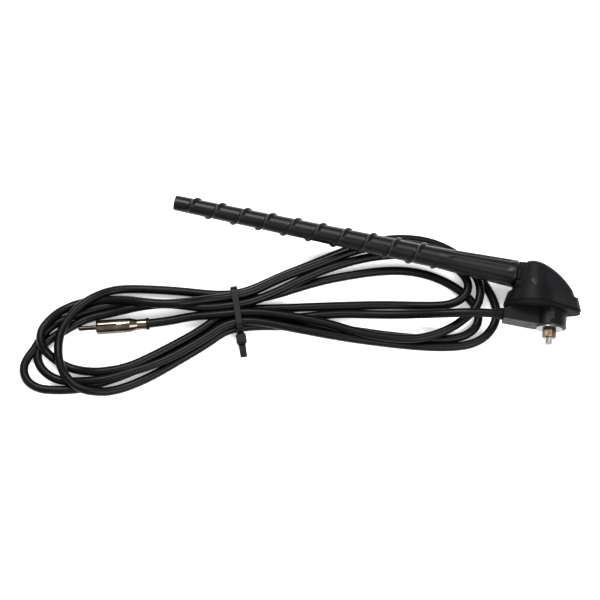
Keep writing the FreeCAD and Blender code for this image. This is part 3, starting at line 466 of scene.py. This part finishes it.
def tie_point(along, across, height):
    """A point of the tie from its place along the cable, across it and over the table."""
    spot = TIE + ALONG * along + ACROSS * across
    return Vector((spot.x, spot.y, FLOOR + height)) * MM


def band_outline(inset):
    """A rounded rectangle round the bundle, in widths across and heights."""
    points = []
    reach = BAND_CORNER - inset
    side, top = HALF - BAND_CORNER, TOP - BAND_CORNER
    for cx, cz, start in ((side, top, 0), (-side, top, 90), (-side, BAND_CORNER, 180),
                          (side, BAND_CORNER, 270)):
        for i in range(CORNER_STEPS + 1):
            angle = math.radians(start + 90 * i / CORNER_STEPS)
            points.append((cx + reach * math.cos(angle), cz + reach * math.sin(angle)))
    return points


def bridge(bm, one, two):
    """Faces between two closed loops of points."""
    for i in range(len(one)):
        j = (i + 1) % len(one)
        bm.faces.new((one[i], one[j], two[j], two[i]))


def add_band(bm):
    """The closed band, with its outer edges chamfered."""
    edge = BAND_WIDTH / 2
    section = [(-edge, BAND_LIP), (-edge + BAND_LIP, 0), (edge - BAND_LIP, 0), (edge, BAND_LIP),
               (edge, BAND_THICK), (-edge, BAND_THICK)]
    loops = [[bm.verts.new(tie_point(along, v, z)) for v, z in band_outline(inset)]
             for along, inset in section]
    for one, two in zip(loops, loops[1:] + loops[:1]):
        bridge(bm, one, two)


def add_head(bm):
    """The locking head, a block with rounded edges."""
    head = bmesh.ops.create_cube(bm, size=1)["verts"]
    for vert in head:
        x, y, z = (c * size for c, size in zip(vert.co, TIE_HEAD_SIZE))
        vert.co = tie_point(x, TIE_HEAD_ACROSS + y, TIE_HEAD_HEIGHT + z)
    edges = {e for v in head for e in v.link_edges}
    bmesh.ops.bevel(bm, geom=list(edges), offset=TIE_HEAD_BEVEL * MM, segments=2, affect="EDGES")


def add_tail(bm):
    """The cut tail, a flat strip out of the head."""
    low = TIE_TAIL_TOP - TIE_TAIL_THICK
    outline = [(TIE_TAIL_START, TIE_TAIL_TOP), (TIE_TAIL_END, TIE_TAIL_TOP),
               (TIE_TAIL_END, low), (TIE_TAIL_START, low)]
    sides = [[bm.verts.new(tie_point(along, v, z)) for v, z in outline]
             for along in (-BAND_WIDTH / 2, BAND_WIDTH / 2)]
    bridge(bm, *sides)
    for side in sides:
        bm.faces.new(side)


tie_mesh = bmesh.new()
for add_part in (add_band, add_head, add_tail):
    add_part(tie_mesh)
tie = new_piece("nylon_cable_tie", tie_mesh, tie_nylon, "base", "cable_tie")
print("tie faces:", len(tie.data.polygons))

# %% [markdown]
# ### Ratchet teeth
# The teeth of the tie's tail are one small bar, repeated along a line by geometry nodes. The
# tree's inputs are the count, the pitch and the size of a tooth.

# %%
TOOTH_PITCH = 1.0
TOOTH_SIZE = (0.6, 3.4, 0.3)


def teeth_tree():
    """Bars along X, a pitch apart, from inputs for the count, pitch, size and material."""
    tree = bpy.data.node_groups.new("ratchet_teeth", "GeometryNodeTree")
    face = tree.interface
    sockets = {name: face.new_socket(name, in_out="INPUT", socket_type=kind).identifier
               for name, kind in (("Count", "NodeSocketInt"), ("Pitch", "NodeSocketFloat"),
                                  ("Tooth", "NodeSocketVector"),
                                  ("Finish", "NodeSocketMaterial"))}
    face.new_socket("Geometry", in_out="OUTPUT", socket_type="NodeSocketGeometry")
    given = add(tree, "NodeGroupInput").outputs
    stride = add(tree, "ShaderNodeCombineXYZ", {"X": given["Pitch"]}).outputs["Vector"]
    row = add(tree, "GeometryNodeMeshLine", {"Count": given["Count"], "Offset": stride})
    tooth = add(tree, "GeometryNodeMeshCube", {"Size": given["Tooth"]})
    teeth = add(tree, "GeometryNodeInstanceOnPoints",
                {"Points": row.outputs["Mesh"], "Instance": tooth.outputs["Mesh"]})
    solid = add(tree, "GeometryNodeRealizeInstances", {"Geometry": teeth.outputs["Instances"]})
    dressed = add(tree, "GeometryNodeSetMaterial",
                  {"Geometry": solid.outputs["Geometry"], "Material": given["Finish"]})
    add(tree, "NodeGroupOutput", {"Geometry": dressed.outputs["Geometry"]})
    return tree, sockets


def ratchet_teeth():
    """The teeth as a plain mesh, laid on the tail with a little of each sunk into it."""
    holder = bpy.data.objects.new("teeth_holder", bpy.data.meshes.new("teeth_holder"))
    bpy.context.scene.collection.objects.link(holder)
    modifier = holder.modifiers.new("ratchet_teeth", "NODES")
    modifier.node_group, sockets = teeth_tree()
    modifier[sockets["Count"]] = int((TIE_TAIL_START - TIE_TAIL_END) / TOOTH_PITCH)
    modifier[sockets["Pitch"]] = TOOTH_PITCH * MM
    modifier[sockets["Tooth"]] = [v * MM for v in TOOTH_SIZE]
    modifier[sockets["Finish"]] = tie_nylon
    view = bpy.context.evaluated_depsgraph_get()
    mesh = bpy.data.meshes.new_from_object(holder.evaluated_get(view))
    bpy.data.objects.remove(holder)
    first = tie_point(0, TIE_TAIL_START - TOOTH_PITCH / 2,
                      TIE_TAIL_TOP + TOOTH_SIZE[2] / 4)
    turn = Matrix((-ACROSS, ALONG, Vector((0, 0, 1)))).transposed().to_4x4()
    mesh.transform(Matrix.Translation(first) @ turn)
    piece = bpy.data.objects.new("tie_ratchet_teeth", mesh)
    bpy.context.scene.collection.objects.link(piece)
    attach(piece, "base")
    return piece


teeth = ratchet_teeth()
print("faces on the teeth:", len(teeth.data.polygons))

# %% [markdown]

# %% [markdown]
# ## Studio
# A pale floor under the antenna, a sky that is dim at the horizon and bright above, and two
# soft lamps from above.

# %%
FLOOR_GAP = 0.3
MIDDLE = (-0.15, 0, 0)

bpy.ops.mesh.primitive_plane_add(size=6, location=(MIDDLE[0], 0, (FLOOR - FLOOR_GAP) * MM))
floor = bpy.context.object
floor.name = "studio_floor"
paper = bpy.data.materials.new("white_paper")
paper.use_nodes = True
surface = paper.node_tree.nodes["Principled BSDF"].inputs
surface["Base Color"].default_value = linear("#ffffff")
surface["Roughness"].default_value = 0.9
surface["Emission Color"].default_value = linear("#ffffff")
surface["Emission Strength"].default_value = 0.35
floor.data.materials.append(paper)

world = bpy.data.worlds.new("studio_sky")
bpy.context.scene.world = world
world.use_nodes = True
sky = world.node_tree
background = sky.nodes["Background"].inputs
direction = add(sky, "ShaderNodeTexCoord").outputs["Generated"]
height = add(sky, "ShaderNodeSeparateXYZ", {"Vector": direction}).outputs["Z"]
sky.links.new(ramp(sky, height, [(0.1, 0.12), (0.7, 1.0)]), background["Color"])
background["Strength"].default_value = 0.8


def lamp(name, place, power, width):
    """A square soft lamp that points at the middle of the antenna."""
    light = bpy.data.lights.new(name, "AREA")
    light.energy = power
    light.size = width
    thing = bpy.data.objects.new(name, light)
    thing.location = place
    thing.rotation_euler = (Vector(MIDDLE) - Vector(place)).to_track_quat("-Z", "Y").to_euler()
    bpy.context.scene.collection.objects.link(thing)


bpy.context.scene.view_settings.view_transform = "Standard"
lamp("key_softbox", (-0.5, 0.7, 1.3), 26, 0.7)
lamp("fill_softbox", (0.5, -0.8, 1.1), 20, 0.8)
print("lamps:", len(bpy.data.lights))

# %% [markdown]
# ### Camera
# The camera looks down at 74 degrees, 16 degrees off the vertical, and is rolled a little, so
# that the mast rises to the left. One pixel of the photo is 0.67 mm at the antenna, and the
# frame's origin lies at the pixel below.

# %%
TILT = math.radians(16)
ROLL = math.radians(5.3)
PICTURE = 600
PIXEL = 0.67 * MM
ORIGIN_PIXEL = (550.5, 311.7)
DISTANCE = 1.6
SENSOR = 36
up_flat = Vector((0, math.cos(TILT), math.sin(TILT)))
side_flat = Vector((1, 0, 0))
right = side_flat * math.cos(ROLL) + up_flat * math.sin(ROLL)
up = up_flat * math.cos(ROLL) - side_flat * math.sin(ROLL)
back = right.cross(up)
centre = right * ((PICTURE / 2 - ORIGIN_PIXEL[0]) * PIXEL)
centre += up * ((ORIGIN_PIXEL[1] - PICTURE / 2) * PIXEL)
camera_data = bpy.data.cameras.new("photo_camera")
camera_data.sensor_fit = "HORIZONTAL"
camera_data.sensor_width = SENSOR
camera_data.lens = SENSOR * DISTANCE / (PICTURE * PIXEL)
camera = bpy.data.objects.new("photo_camera", camera_data)
facing = Matrix((right, up, back)).transposed().to_4x4()
camera.matrix_world = Matrix.Translation(centre + back * DISTANCE) @ facing
bpy.context.scene.collection.objects.link(camera)
bpy.context.scene.camera = camera
print("lens:", round(camera_data.lens, 1), "mm")
